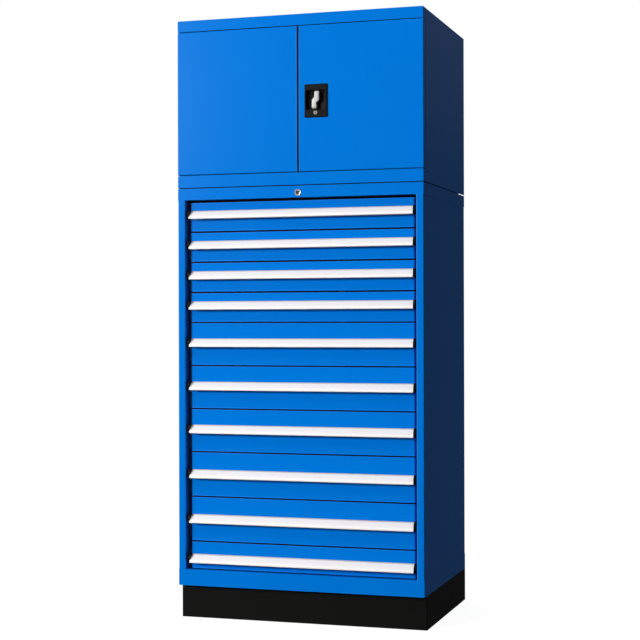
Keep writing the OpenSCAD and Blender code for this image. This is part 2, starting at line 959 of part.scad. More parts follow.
// Shelf: a folded tray with its rim turned down
module shelf() {
    side_gap = 1.5;
    x = half_w - sheet - side_gap;
    z0 = floor_z + shelf_rise;
    y1 = back_in - 2;
    color(BLUE)
        placed()
            difference() {
                block([-x, shelf_setback, z0], [x, y1, z0 + shelf_h]);
                block(
                    [-x + sheet, shelf_setback + sheet, z0 - 1],
                    [x - sheet, y1 - sheet, z0 + shelf_h - sheet]
                );
            }
}

// Four brackets that the shelf rests on
module shelf_clips() {
    x1 = half_w - sheet;
    z = floor_z + shelf_rise;
    reach = 14;
    leg = 18;
    w = 16;
    t = 2;
    front_inset = 30;
    back_inset = 60;
    color(STEEL)
        placed()
            both_sides()
                for (y = [shelf_setback + front_inset, back_in - back_inset])
                    along_y(y, y + w)
                        difference() {
                            translate([x1 - reach, z - leg])
                                square([reach, leg]);
                            translate([x1 - reach - 1, z - leg - 1])
                                square([reach + 1 - t, leg + 1 - t]);
                        }
}

// Magnetic catches that hold the left door shut
module door_catches() {
    w = 40;
    h = 14;
    d = 24;
    inset = 50;
    x1 = -door_gap / 2 - inset;
    y1 = door_t + d;
    color(BLACK)
        placed()
            for (z = [floor_z, ceiling_z - h])
                block([x1 - w, door_t + seat_gap, z], [x1, y1, z + h]);
}

// Folded door between two X values: bends at the front edges and hems behind all four
module door_pan(x0, x1) {
    hem = door_hem;
    difference() {
        bent_block([x0, 0, door_z0], [x1, door_t, door_z1], bend_r);
        block([x0 + sheet, sheet, door_z0 + sheet], [x1 - sheet, door_t - sheet, door_z1 - sheet]);
        block([x0 + hem, sheet, door_z0 + hem], [x1 - hem, door_t + 1, door_z1 - hem]);
    }
}

// Upper and lower hinge pins of a door, with the short tubes that carry them
module hinge_pins(x) {
    boss = 24;
    boss_wall = 2;
    reach = door_end_gap + sheet + 3;
    for (end = [0, 1])
        translate([x, door_t / 2, end == 0 ? door_z0 : door_z1])
            mirror([0, 0, end])
                union() {
                    translate([0, 0, -reach])
                        cylinder(h = reach + boss, d = pin_d);
                    translate([0, 0, eps])
                        cylinder(h = boss, d = pin_d + 2 * boss_wall);
                }
}

// Left door, with no handle
module left_door() {
    color(BLUE)
        placed()
            union() {
                door_pan(-half_w, -door_gap / 2);
                hinge_pins(-half_w + pin_inset);
            }
}

// Right door, cut out for the handle pan, with a guide for each locking rod
module right_door() {
    cut_play = 0.2;
    guide_set = 9;
    cut_x = hollow_w / 2 + pan_wall + cut_play;
    cut_z = pan_h / 2 - pan_margin + cut_play;
    color(BLUE)
        placed()
            difference() {
                union() {
                    door_pan(door_gap / 2, half_w);
                    hinge_pins(half_w - pin_inset);
                    rod_guide(grip_x - rod_offset, door_z1 - door_hem - guide_set);
                    rod_guide(grip_x + rod_offset, door_z0 + door_hem + guide_set);
                }
                block([grip_x - cut_x, -1, pan_z - cut_z], [grip_x + cut_x, sheet + 1, pan_z + cut_z]);
            }
}

// Guide block on the door's hem, with its plate and a hole for a rod, about the height z
module rod_guide(x, z) {
    guide_wall = 5;
    half = rod_d / 2 + guide_wall;
    half_h = 7;
    plate_half_h = 13;
    difference() {
        union() {
            block([x - half, door_t - sheet, z - half_h], [x + half, rod_y + half, z + half_h]);
            block([x - half, door_t - sheet, z - plate_half_h], [x + half, door_t, z + plate_half_h]);
        }
        translate([x, rod_y, z - half_h - 1])
            cylinder(h = 2 * half_h + 2, r = rod_d / 2 + seat_gap);
    }
}

// Flange of the handle pan: a rounded plate whose four sides slope in towards the front
module pan_flange() {
    corner_r = 4;
    slope = 1.2;
    intersection() {
        along_y(-pan_flange_t, 0)
            rounded_rect(pan_w, pan_h, corner_r);
        along_x(-pan_w / 2, pan_w / 2)
            polygon([
                [0, -pan_h / 2],
                [0, pan_h / 2],
                [-pan_flange_t, pan_h / 2 - slope],
                [-pan_flange_t, -pan_h / 2 + slope]
            ]);
        translate([0, 0, -pan_h / 2])
            linear_extrude(pan_h)
                polygon([
                    [-pan_w / 2, 0],
                    [pan_w / 2, 0],
                    [pan_w / 2 - slope, -pan_flange_t],
                    [-pan_w / 2 + slope, -pan_flange_t]
                ]);
    }
}

// Black pan let into the right door: flange, hollow for the grip and the lock's seat
module handle_pan() {
    body_x = hollow_w / 2 + pan_wall;
    body_z = pan_h / 2 - pan_margin;
    hollow_r = 3;
    lock_bore_d = pan_lock_body_d + 2 * shaft_play;
    seat_d = pan_lock_d + 2;
    seat_depth = 1;
    color(BLACK)
        placed()
            difference() {
                union() {
                    translate([grip_x + pan_shift, 0, pan_z])
                        pan_flange();
                    translate([grip_x, 0, pan_z])
                        block([-body_x, -eps, -body_z], [body_x, pan_back, body_z]);
                }
                translate([grip_x, 0, grip_z])
                    along_y(-pan_flange_t - 1, hollow_depth)
                        rounded_rect(hollow_w, hollow_h, hollow_r);
                round_bar(grip_x, grip_z, spindle_d + 2 * shaft_play, 0, pan_back + 1);
                round_bar(grip_x, pan_lock_z, lock_bore_d, -pan_flange_t - 1, pan_back + 1);
                round_bar(grip_x, pan_lock_z, seat_d, -pan_flange_t - 1, seat_depth - pan_flange_t);
            }
}

// Outline of the stepped grip: the upper arm lies to the right of the lower one
module grip_outline() {
    half = grip_l / 2;
    s = grip_step / 2;
    w = grip_arm_w / 2;
    chamfer = 2;
    step_z0 = 1;
    step_z1 = 7.5;
    upper_half = [
        [-s - w, step_z0],
        [s - w, step_z1],
        [s - w, half - chamfer],
        [s - w + chamfer, half],
        [s + w - chamfer, half],
        [s + w, half - chamfer]
    ];
    polygon(concat(upper_half, [for (p = upper_half) -p]));
}

// Side view of the grip: its two ends slope away from the front
module grip_side_outline(front, back) {
    half = grip_l / 2;
    slope_y = 3;
    slope_z = 4.5;
    polygon([
        [back, -half],
        [back, half],
        [front + slope_y, half],
        [front, half - slope_z],
        [front, -half + slope_z],
        [front + slope_y, -half]
    ]);
}

// Grip, its spindle and the pinion that drives both rods
module turn_grip() {
    arm_back = hollow_depth - 4;
    boss_d = spindle_d + 6;
    color(ZINC)
        placed()
            translate([grip_x, 0, grip_z])
                union() {
                    intersection() {
                        along_y(-handle_proud, arm_back)
                            grip_outline();
                        along_x(-grip_l, grip_l)
                            grip_side_outline(-handle_proud, arm_back);
                    }
                    round_bar(0, 0, boss_d, arm_back - eps, hollow_depth - seat_gap);
                    round_bar(0, 0, spindle_d, arm_back - 1, rod_y0 - 0.5);
                    round_bar(0, 0, spindle_neck_d, rod_y0 - 1, rod_y1 + 3);
                    along_y(rod_y0, rod_y1)
                        pinion_outline(rod_pinion_r, gear_teeth);
                }
}

// Locking rod that rises or falls: a toothed square bar beside the pinion, then a round rod
module rod(side, direction, tip_z) {
    module_size = 2 * rod_pinion_r / gear_teeth;
    free_end = rod_travel + 2.5 * module_size;
    rod_end = 26;
    x = grip_x + side * rod_offset;
    low = direction > 0 ? -free_end : -rod_end;
    high = direction > 0 ? rod_end : free_end;
    first = direction > 0 ? -turn_teeth - 1 : -2;
    last = direction > 0 ? 1 : turn_teeth;
    color(STEEL)
        placed()
            union() {
                translate([grip_x, 0, grip_z])
                    along_y(rod_y0, rod_y1)
                        union() {
                            translate([side * rod_offset - rod_d / 2, low])
                                square([rod_d, high - low]);
                            intersection() {
                                scale([-side, 1])
                                    translate([-rod_pinion_r, 0])
                                        rack_teeth(rod_pinion_r, gear_teeth, first, last);
                                translate([-rod_offset, low])
                                    square([2 * rod_offset, high - low]);
                            }
                        }
                translate([x, rod_y, min(tip_z, grip_z)])
                    cylinder(h = abs(tip_z - grip_z), d = rod_d);
            }
}

// Rod that enters the ceiling
module upper_rod() {
    rod(-1, 1, ceiling_z - rod_rest_gap);
}

// Rod that enters the floor
module lower_rod() {
    rod(1, -1, floor_z + rod_rest_gap);
}

// Gear case behind the pan: a plate and a cover that guide the toothed ends of the rods
module rod_case() {
    play = seat_gap;
    wall = 1.5;
    foot = 8;
    bore_play = 0.1;
    x1 = rod_offset + rod_d / 2 + play + wall;
    z1 = 30;
    in0 = rod_y0 - play;
    in1 = rod_y1 + play;
    color(STEEL)
        placed()
            translate([grip_x, 0, grip_z])
                difference() {
                    block([-x1, pan_back, -z1], [x1, in1 + wall, z1]);
                    block([-x1 + wall, in0, -z1 - 1], [x1 - wall, in1, z1 + 1]);
                    block([-x1 - 1, pan_back + wall, -z1 + foot], [x1 + 1, in0 - wall, z1 - foot]);
                    round_bar(0, 0, spindle_d + 2 * bore_play, pan_back - 1, in0 + 1);
                    round_bar(0, 0, spindle_neck_d + 2 * bore_play, in1 - 1, in1 + wall + 1);
                }
}

// Plug of the small cylinder lock under the grip
module pan_lock_plug() {
    rim_t = 1.7;
    rim_bevel = 0.6;
    rim_y = -pan_flange_t - 1;
    key_w = 1.4;
    key_h = 6;
    key_depth = 6;
    cam_w = 8;
    cam_l = 12;
    color(CHROME)
        placed()
            difference() {
                union() {
                    collar(grip_x, pan_lock_z, pan_lock_d, rim_bevel, rim_y, rim_y + rim_t);
                    round_bar(grip_x, pan_lock_z, pan_lock_body_d, -pan_flange_t, pan_back + 4);
                    // Cam behind the pan
                    block(
                        [grip_x - cam_w / 2, pan_back + 1, pan_lock_z - cam_l],
                        [grip_x + cam_w / 2, pan_back + 3, pan_lock_z]
                    );
                }
                block(
                    [grip_x - key_w / 2, -pan_flange_t - 2, pan_lock_z - key_h / 2],
                    [grip_x + key_w / 2, key_depth, pan_lock_z + key_h / 2]
                );
            }
}

plinth();
lower_shell();
slide_uprights();
cabinet_slides();
lock_barrel();
lock_shaft();
lock_bar();
upper_shell();
top_cap();
shelf();
shelf_clips();
door_catches();
left_door();
right_door();
handle_pan();
turn_grip();
upper_rod();
lower_rod();
rod_case();
pan_lock_plug();
for (n = DRAWERS) {
    drawer(n);
    handle(n);
    end_caps(n);
    runners(n);
}
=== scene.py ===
# %% [markdown]
# # A steel slide cabinet, dressed for its picture
# The cabinet is a cupboard with two folded doors on a unit of ten drawers, on a black plinth.
# Its working solids come in as a fixed frame, in metres, with +Z up and the drawers facing -Y.
# This notebook adds the camera, the light, the finishes and finer versions of the visible skins.

# %% Load the frame
import json
import math

import bpy
import numpy as np
from mathutils import Matrix, Vector


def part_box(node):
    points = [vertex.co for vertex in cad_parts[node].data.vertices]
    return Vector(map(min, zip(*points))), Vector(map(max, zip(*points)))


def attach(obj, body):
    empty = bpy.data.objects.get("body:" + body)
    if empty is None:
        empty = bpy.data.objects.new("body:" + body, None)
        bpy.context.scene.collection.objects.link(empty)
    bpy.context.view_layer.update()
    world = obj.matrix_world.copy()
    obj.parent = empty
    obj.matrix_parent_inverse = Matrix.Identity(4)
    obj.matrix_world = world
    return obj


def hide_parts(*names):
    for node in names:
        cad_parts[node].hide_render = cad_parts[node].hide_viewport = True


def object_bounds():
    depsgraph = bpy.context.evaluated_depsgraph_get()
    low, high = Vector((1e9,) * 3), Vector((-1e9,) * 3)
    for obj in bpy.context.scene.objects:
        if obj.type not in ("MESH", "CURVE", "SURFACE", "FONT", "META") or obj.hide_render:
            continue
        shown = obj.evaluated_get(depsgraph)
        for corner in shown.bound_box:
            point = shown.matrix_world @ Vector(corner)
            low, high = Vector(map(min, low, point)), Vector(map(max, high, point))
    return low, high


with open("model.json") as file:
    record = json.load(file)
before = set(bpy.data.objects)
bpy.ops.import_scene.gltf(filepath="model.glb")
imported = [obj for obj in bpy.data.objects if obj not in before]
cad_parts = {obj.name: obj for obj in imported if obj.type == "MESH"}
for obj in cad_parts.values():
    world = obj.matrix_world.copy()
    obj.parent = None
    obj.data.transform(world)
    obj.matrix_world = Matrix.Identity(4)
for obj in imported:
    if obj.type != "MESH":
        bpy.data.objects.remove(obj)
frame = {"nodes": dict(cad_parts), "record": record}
cad_low, cad_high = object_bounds()
nodes = frame["nodes"]
print("nodes:", len(nodes), "box:", tuple(cad_low), tuple(cad_high))

# %% [markdown]
# ## Where the picture was taken from
# The camera stood in front of the cabinet and to its right, at the height of the fifth drawer.
# Its lens axis was level, so the upright edges stay parallel. The rotation is written as three
# axes: where the camera looks, its right and its up, turned a little by the roll.

# %% Camera
CAMERA_PLACE = (1.4203, -4.5823, 0.8980)
CAMERA_YAW = math.radians(17.4255)
CAMERA_ROLL = math.radians(-0.1516)
SENSOR_MM = 36.0
LENS_MM = 86.68


def camera_axes(yaw, roll):
    """Forward is level and turned left by yaw; right and up are then turned by roll about it."""
    forward = Vector((-math.sin(yaw), math.cos(yaw), 0.0))
    right = Vector((math.cos(yaw), math.sin(yaw), 0.0))
    up = Vector((0.0, 0.0, 1.0))
    rolled_right = math.cos(roll) * right + math.sin(roll) * up
    rolled_up = -math.sin(roll) * right + math.cos(roll) * up
    return rolled_right, rolled_up, forward


camera_data = bpy.data.cameras.new("photo_camera")
camera_data.sensor_width = SENSOR_MM
camera_data.lens = LENS_MM
camera = bpy.data.objects.new("photo_camera", camera_data)
bpy.context.scene.collection.objects.link(camera)
right, up, forward = camera_axes(CAMERA_YAW, CAMERA_ROLL)
turned = Matrix((right, up, -forward)).transposed().to_4x4()
camera.matrix_world = Matrix.Translation(CAMERA_PLACE) @ turned
bpy.context.scene.camera = camera
print("camera looks along", tuple(round(v, 3) for v in forward))

# %% [markdown]
# ## Studio
# A cut-out product picture has a white surround and one large soft source, here above and to
# the left of the camera, so the front is bright and the right side falls into deep navy. The
# surround is white to the camera, pale grey in reflections, so that metal has something bright
# to show, and a dim grey room as a source of light, which keeps the side dark. A lamp above and
# one behind serve the top and the back, and hardly reach the front and the right side. The one
# behind is left out of reflections, where it would whiten the flat top in low views.


# %% Node helpers
def link(tree, source, target):
    """Joins the output source to the input target."""
    tree.links.new(source, target)


def node(tree, kind, **values):
    """A node of that kind, with attributes and input defaults set by name."""
    made = tree.nodes.new(kind)
    for key, value in values.items():
        if key in made.inputs:
            made.inputs[key].default_value = value
        else:
            setattr(made, key, value)
    return made


def ranged(tree, value, low, high, new_low, new_high):
    """The value moved from low..high to new_low..new_high, and held at those two ends."""
    made = node(tree, "ShaderNodeMapRange")
    for key, number in zip(("From Min", "From Max", "To Min", "To Max"), (low, high, new_low, new_high)):
        made.inputs[key].default_value = number
    link(tree, value, made.inputs["Value"])
    return made.outputs["Result"]


def seen_as(tree, ray, picked, others):
    """One shader picked for a kind of ray, and another for all the rest."""
    paths = node(tree, "ShaderNodeLightPath")
    chosen = node(tree, "ShaderNodeMixShader")
    link(tree, paths.outputs[ray], chosen.inputs["Fac"])
    link(tree, others.outputs[0], chosen.inputs[1])
    link(tree, picked.outputs[0], chosen.inputs[2])
    return chosen


# %% World
WHITE = (1.0, 1.0, 1.0, 1.0)
ROOM_COLOUR = (0.90, 0.95, 1.0, 1.0)
ROOM_LIGHT = 0.16

scene = bpy.context.scene
scene.view_settings.view_transform = "Standard"
world = bpy.data.worlds.new("studio")
scene.world = world
world.use_nodes = True
tree = world.node_tree
tree.nodes.clear()
facing = node(tree, "ShaderNodeTexCoord")
axes = node(tree, "ShaderNodeSeparateXYZ")
link(tree, facing.outputs["Generated"], axes.inputs["Vector"])
brighter_in_front = ranged(tree, axes.outputs["Y"], 0.3, -0.2, 0.065, 0.5)
brighter_above = ranged(tree, axes.outputs["Z"], 0.09, 0.22, 0.0, 0.12)
wall_light = node(tree, "ShaderNodeMath", operation="ADD")
link(tree, brighter_in_front, wall_light.inputs[0])
link(tree, brighter_above, wall_light.inputs[1])
room = node(tree, "ShaderNodeBackground", Color=ROOM_COLOUR, Strength=ROOM_LIGHT)
walls = node(tree, "ShaderNodeBackground", Color=WHITE)
link(tree, wall_light.outputs[0], walls.inputs["Strength"])
surround = node(tree, "ShaderNodeBackground", Color=WHITE, Strength=1.0)
lit_by = seen_as(tree, "Is Glossy Ray", walls, room)
shown = seen_as(tree, "Is Camera Ray", surround, lit_by)
output = node(tree, "ShaderNodeOutputWorld")
link(tree, shown.outputs[0], output.inputs["Surface"])
print("world: white to the camera, pale grey in reflections, dim to the object")


# %% Lamps
def soft_box(name, place, target, size, watts):
    """A white rectangular lamp at place that faces target; its light spreads as a cosine."""
    data = bpy.data.lights.new(name, "AREA")
    data.shape = "RECTANGLE"
    data.size, data.size_y = size
    data.energy = watts
    lamp = bpy.data.objects.new(name, data)
    scene.collection.objects.link(lamp)
    aim = Vector(target) - Vector(place)
    lamp.matrix_world = Matrix.Translation(place) @ aim.to_track_quat("-Z", "Y").to_matrix().to_4x4()
    return lamp


soft_box("key", (-4.8, -7.3, 2.75), (0.0, 0.0, 0.9), (2.1, 1.6), 715.0)
soft_box("top", (-0.8, -4.6, 7.4), (0.0, -0.1, 0.7), (3.6, 3.0), 150.0)
back_lamp = soft_box("back", (-1.8, 4.2, 2.4), (0.0, 0.3, 0.9), (3.0, 3.0), 150.0)
back_lamp.visible_glossy = False


# %% Floor
FLOOR_HALF = 14.0
FLOOR_DROP = 0.0005


def grid_mesh(name, points):
    """A surface from an array of points (rows u, columns v): one four-sided face per cell."""
    rows, columns = points.shape[:2]
    at = np.arange(rows * columns).reshape(rows, columns)
    faces = np.stack([at[:-1, :-1], at[1:, :-1], at[1:, 1:], at[:-1, 1:]], axis=-1)
    mesh = bpy.data.meshes.new(name)
    mesh.from_pydata(points.reshape(-1, 3).tolist(), [], faces.reshape(-1, 4).tolist())
    mesh.update()
    return mesh


def add_object(name, mesh):
    """Links a new object at the origin, so its place is in its mesh."""
    thing = bpy.data.objects.new(name, mesh)
    scene.collection.objects.link(thing)
    return thing


span = np.linspace(-FLOOR_HALF, FLOOR_HALF, 3)
x, y = np.meshgrid(span, span, indexing="ij")
floor = add_object("floor", grid_mesh("floor", np.stack([x, y, np.full_like(x, -FLOOR_DROP)], -1)))
print("floor:", len(floor.data.polygons), "faces")


# %% The floor's paint
# To the camera it is white, but for the cabinet's own soft shadow close by. As a source of light
# and in reflections it is dim, so that it doesn't light the front from below.
def grey(level):
    return (level, level, level, 1.0)


floor_paint = bpy.data.materials.new("pale_floor")
floor_paint.use_nodes = True
tree = floor_paint.node_tree
tree.nodes.clear()
pale = node(tree, "ShaderNodeBsdfDiffuse", Color=grey(0.14))
glow = node(tree, "ShaderNodeEmission", Color=WHITE, Strength=0.95)
near_floor = node(tree, "ShaderNodeAddShader")
link(tree, pale.outputs[0], near_floor.inputs[0])
link(tree, glow.outputs[0], near_floor.inputs[1])
far_floor = node(tree, "ShaderNodeEmission", Color=WHITE, Strength=1.0)
place = node(tree, "ShaderNodeTexCoord")
reach = node(tree, "ShaderNodeVectorMath", operation="LENGTH")
link(tree, place.outputs["Object"], reach.inputs[0])
white_floor = node(tree, "ShaderNodeMixShader")
link(tree, ranged(tree, reach.outputs["Value"], 1.0, 3.0, 0.0, 1.0), white_floor.inputs["Fac"])
link(tree, near_floor.outputs[0], white_floor.inputs[1])
link(tree, far_floor.outputs[0], white_floor.inputs[2])
dim = node(tree, "ShaderNodeBsdfDiffuse", Color=grey(0.09))
mirrored = node(tree, "ShaderNodeEmission", Color=grey(0.07), Strength=1.0)
lit_by = seen_as(tree, "Is Glossy Ray", mirrored, dim)
shown = seen_as(tree, "Is Camera Ray", white_floor, lit_by)
output = node(tree, "ShaderNodeOutputMaterial")
link(tree, shown.outputs[0], output.inputs["Surface"])
floor.data.materials.append(floor_paint)
print("floor paint:", len(tree.nodes), "nodes")

# %% [markdown]
# ## Finishes
# Powder coat is a smooth skin with a fine ripple, like orange peel, a millimetre or two across.
# Two effects serve several finishes, so each is a node group with named inputs: the ripple and
# faint cloudiness of a coat, and the fine lines of drawn or rolled metal. The groups give only
# numbers that vary over the surface; every shader and every constant stays in its material.


# %% Group: the ripple and cloudiness of a powder coat
def make_coat_group():
    """Peel = noise 1.2 mm across; Cloud = noise 15 cm across; Grit = noise 0.3 mm across."""
    group = bpy.data.node_groups.new("powder_coat_skin", "ShaderNodeTree")
    for name, value in (("Peel Scale", 900.0), ("Cloud Scale", 6.0)):
        socket = group.interface.new_socket(name, in_out="INPUT", socket_type="NodeSocketFloat")
        socket.default_value = value
    for name in ("Peel", "Cloud", "Grit"):
        group.interface.new_socket(name, in_out="OUTPUT", socket_type="NodeSocketFloat")
    start = node(group, "NodeGroupInput")
    end = node(group, "NodeGroupOutput")
    place = node(group, "ShaderNodeTexCoord")
    noises = {
        "Peel": node(group, "ShaderNodeTexNoise", Detail=2.0, Roughness=0.5),
        "Cloud": node(group, "ShaderNodeTexNoise", Detail=3.0, Roughness=0.55),
        "Grit": node(group, "ShaderNodeTexNoise", Scale=3400.0, Detail=1.0),
    }
    for name, noise in noises.items():
        link(group, place.outputs["Object"], noise.inputs["Vector"])
        link(group, noise.outputs["Fac"], end.inputs[name])
    for name in ("Peel", "Cloud"):
        link(group, start.outputs[f"{name} Scale"], noises[name].inputs["Scale"])
    return group


coat_group = make_coat_group()
print("group:", coat_group.name)


# %% Group: the fine lines of drawn metal
def make_line_group():
    """Lines = noise stretched along one axis, so it varies quickly only across the lines;
    Cloud = noise 4 cm across."""
    group = bpy.data.node_groups.new("drawn_lines", "ShaderNodeTree")
    socket = group.interface.new_socket("Stretch", in_out="INPUT", socket_type="NodeSocketVector")
    socket.default_value = (4.0, 900.0, 900.0)
    for name in ("Lines", "Cloud"):
        group.interface.new_socket(name, in_out="OUTPUT", socket_type="NodeSocketFloat")
    start = node(group, "NodeGroupInput")
    end = node(group, "NodeGroupOutput")
    place = node(group, "ShaderNodeTexCoord")
    scaled = node(group, "ShaderNodeVectorMath", operation="MULTIPLY")
    lines = node(group, "ShaderNodeTexNoise", Scale=1.0, Detail=3.0, Roughness=0.6)
    cloud = node(group, "ShaderNodeTexNoise", Scale=25.0, Detail=2.0)
    link(group, place.outputs["Object"], scaled.inputs[0])
    link(group, start.outputs["Stretch"], scaled.inputs[1])
    link(group, scaled.outputs[0], lines.inputs["Vector"])
    link(group, place.outputs["Object"], cloud.inputs["Vector"])
    link(group, lines.outputs["Fac"], end.inputs["Lines"])
    link(group, cloud.outputs["Fac"], end.inputs["Cloud"])
    return group


line_group = make_line_group()
print("group:", line_group.name)


# %% What every finish shares
def mixed_colour(tree, factor, dark, light):
    """A colour between dark and light, chosen by a factor from 0 to 1."""
    made = node(tree, "ShaderNodeMix", data_type="RGBA")
    made.inputs["A"].default_value = (*dark, 1.0)
    made.inputs["B"].default_value = (*light, 1.0)
    link(tree, factor, made.inputs["Factor"])
    return made.outputs["Result"]


def surface(name, group, colours, rough, spread, grain, relief, strength, depth):
    """A material whose colour follows the group's Cloud, whose roughness is rough plus or minus
    spread as the output grain varies, and whose bump is the output relief, depth metres deep.
    Gives the material, its shader and its group node."""
    material = bpy.data.materials.new(name)
    material.use_nodes = True
    tree = material.node_tree
    shader = tree.nodes["Principled BSDF"]
    skin = node(tree, "ShaderNodeGroup", node_tree=group)
    link(tree, mixed_colour(tree, skin.outputs["Cloud"], *colours), shader.inputs["Base Color"])
    gloss = ranged(tree, skin.outputs[grain], 0.3, 0.7, rough - spread, rough + spread)
    link(tree, gloss, shader.inputs["Roughness"])
    bump = node(tree, "ShaderNodeBump", Strength=strength, Distance=depth)
    link(tree, skin.outputs[relief], bump.inputs["Height"])
    link(tree, bump.outputs["Normal"], shader.inputs["Normal"])
    return material, shader, skin


# %% Coated and moulded finishes
def coated(name, dark, light, rough, ripples, depth, specular):
    """A powder coat or fine-textured plastic, with so many ripples a metre, depth metres deep."""
    material, shader, skin = surface(
        name, coat_group, (dark, light), rough, 0.05, "Grit", "Peel", 0.25, depth
    )
    shader.inputs["Specular IOR Level"].default_value = specular
    skin.inputs["Peel Scale"].default_value = ripples
    return material


COATS = {
    "blue_paint": ((0.0, 0.172, 0.655), (0.0, 0.184, 0.685), 0.18, 900.0, 0.00005, 0.02),
    # Painted highlights: two lighter, glossier blues for the beads on rolled and folded edges and for the
    # line on the sides.
    "painted_highlight_blue": ((0.0, 0.195, 0.78), (0.0, 0.207, 0.82), 0.28, 900.0, 0.00005, 0.08),
    "painted_highlight_pale_blue": ((0.018, 0.225, 0.74), (0.024, 0.240, 0.78), 0.28, 900.0, 0.00005, 0.05),
    # Painted shade: a dark blue for the seams on the sides.
    "painted_shade_seam_blue": ((0.0, 0.060, 0.240), (0.0, 0.072, 0.280), 0.40, 900.0, 0.00005, 0.02),
    "black_paint": ((0.0026, 0.0024, 0.0022), (0.0040, 0.0038, 0.0035), 0.50, 900.0, 0.0002, 0.07),
    "black_plastic": ((0.0030, 0.0030, 0.0031), (0.0050, 0.0050, 0.0052), 0.45, 1600.0, 0.0002, 0.05),
    # Painted shade: a near-black for the strips in the gaps and for the pan's border, where there is only
    # shade.
    "painted_shade_black": ((0.0020, 0.0020, 0.0022), (0.0040, 0.0040, 0.0042), 0.70, 1200.0, 0.0003, 0.05),
    "label_strip": ((0.910, 0.872, 0.842), (0.930, 0.892, 0.862), 0.38, 700.0, 0.00005, 0.2),
}
finish = {name: coated(name, *values) for name, values in COATS.items()}
print("coated finishes:", sorted(finish))


# %% Metal finishes
LINE_DEPTH = 0.00004


def metal(name, dark, light, rough, stretch, metallic):
    """A metal whose fine lines vary its gloss and height, closest where stretch is greatest.
    A frosted or anodised one scatters light as paint does, so it is less or not metallic."""
    material, shader, skin = surface(
        name, line_group, (dark, light), rough, 0.06, "Lines", "Lines", 0.3, LINE_DEPTH
    )
    shader.inputs["Metallic"].default_value = metallic
    skin.inputs["Stretch"].default_value = stretch
    return material


DRAWN_IN_X = (4.0, 1200.0, 1200.0)
ROLLED_IN_Y = (500.0, 6.0, 500.0)
METALS = {
    "aluminium": ((0.96, 0.93, 0.90), (0.98, 0.95, 0.92), 0.45, DRAWN_IN_X, 0.0),
    # Painted shade: a darker aluminium for the bead along each handle's top edge.
    "painted_shade_aluminium": ((0.50, 0.45, 0.43), (0.58, 0.53, 0.50), 0.50, DRAWN_IN_X, 0.0),
    "zinc_steel": ((0.52, 0.54, 0.57), (0.66, 0.68, 0.70), 0.34, ROLLED_IN_Y, 1.0),
    "chrome": ((0.66, 0.67, 0.69), (0.72, 0.73, 0.75), 0.14, (300.0,) * 3, 1.0),
    "cast_zinc": ((0.50, 0.485, 0.48), (0.57, 0.555, 0.55), 0.45, (500.0,) * 3, 0.0),
    "satin_chrome": ((0.34, 0.32, 0.30), (0.42, 0.40, 0.38), 0.18, (400.0,) * 3, 1.0),
    "dull_zinc": ((0.30, 0.29, 0.28), (0.36, 0.35, 0.34), 0.50, (400.0,) * 3, 0.0),
    # Painted shade: a near-black chrome for the lock plugs, which sit in shade.
    "painted_shade_chrome": ((0.012, 0.012, 0.012), (0.030, 0.029, 0.028), 0.40, (400.0,) * 3, 0.6),
}
finish.update({name: metal(name, *values) for name, values in METALS.items()})
print("all finishes:", sorted(finish))

# %% [markdown]
# ## Dressing the working solids
# Each solid carries a slot, which says what it is made of, so its finish is looked up by slot.
# The plugs of both locks are chrome, but they sit in shade between their bright rims, so they get a
# near-black chrome instead of the bright one of their slot: a painted shade.

# %% Every working solid gets its finish
for part in frame["record"]["subparts"]:
    solid = nodes[part["node"]]
    solid.data.materials.clear()
    solid.data.materials.append(finish[part["material_slot"]])
# Painted shade: the two lock plugs get the near-black chrome.
for name in ("pan_lock_plug", "lock_shaft"):
    nodes[name].data.materials[0] = finish["painted_shade_chrome"]
print("dressed:", len(nodes))

# %% [markdown]
# ## Small parts made of rings
# Handles, caps, locks and the pan are closed outlines that change a little from place to place.
# They could be cut from blocks, but a skin laid over a list of rings is lighter and gives clean
# rounded edges. A ring is one closed outline, as an array of points, and a skin joins each ring
# to the next. Sizes are written in millimetres, as on a workshop drawing.


# %% Outlines
def round_box(centre, size, radius, steps=8):
    """Rounded rectangles as rings of 4 * steps points: for a direction d, the point lies at the
    centre + sign(d) * (half the size - radius) + d * radius. A circle is one whose radius is
    half its size. centre, size and radius may hold many rectangles, one a row."""
    angle = (np.arange(4 * steps) + 0.5) * math.pi / (2 * steps)
    d = np.stack([np.cos(angle), np.sin(angle)], -1)
    centre = np.asarray(centre, float)[..., None, :]
    half = np.asarray(size, float)[..., None, :] / 2
    radius = np.asarray(radius, float)[..., None, None]
    return centre + np.sign(d) * (half - radius) + d * radius


def rounded(corners, radius, steps=4):
    """A polygon with soft corners: near a corner P the outline follows the parabola
    (1-s)^2 A + 2 s (1-s) P + s^2 B, where A and B lie on the two sides, a radius from P."""
    corners = np.asarray(corners, float)
    sides = [np.roll(corners, turn, axis=0) - corners for turn in (1, -1)]
    a, b = (corners + radius * side / np.linalg.norm(side, axis=1, keepdims=True) for side in sides)
    s = np.linspace(0.0, 1.0, steps)[None, :, None]
    curve = (1 - s) ** 2 * a[:, None] + 2 * s * (1 - s) * corners[:, None] + s**2 * b[:, None]
    return curve.reshape(-1, 2)


def on_axis(axis, outlines, places):
    """Rings from outlines: the places go on one axis, the outlines' coordinates on the others."""
    places = np.asarray(places, float)
    outlines = np.broadcast_to(outlines, (len(places), *np.shape(outlines)[-2:]))
    rings = np.insert(outlines, axis, 0.0, axis=-1)
    rings[..., axis] = places[:, None]
    return rings


def facing_front(centre, table):
    """Rings that face the front, from rows of width, height, corner radius and depth."""
    table = np.asarray(table, float)
    return on_axis(1, round_box(centre, table[:, :2], table[:, 2]), table[:, 3])


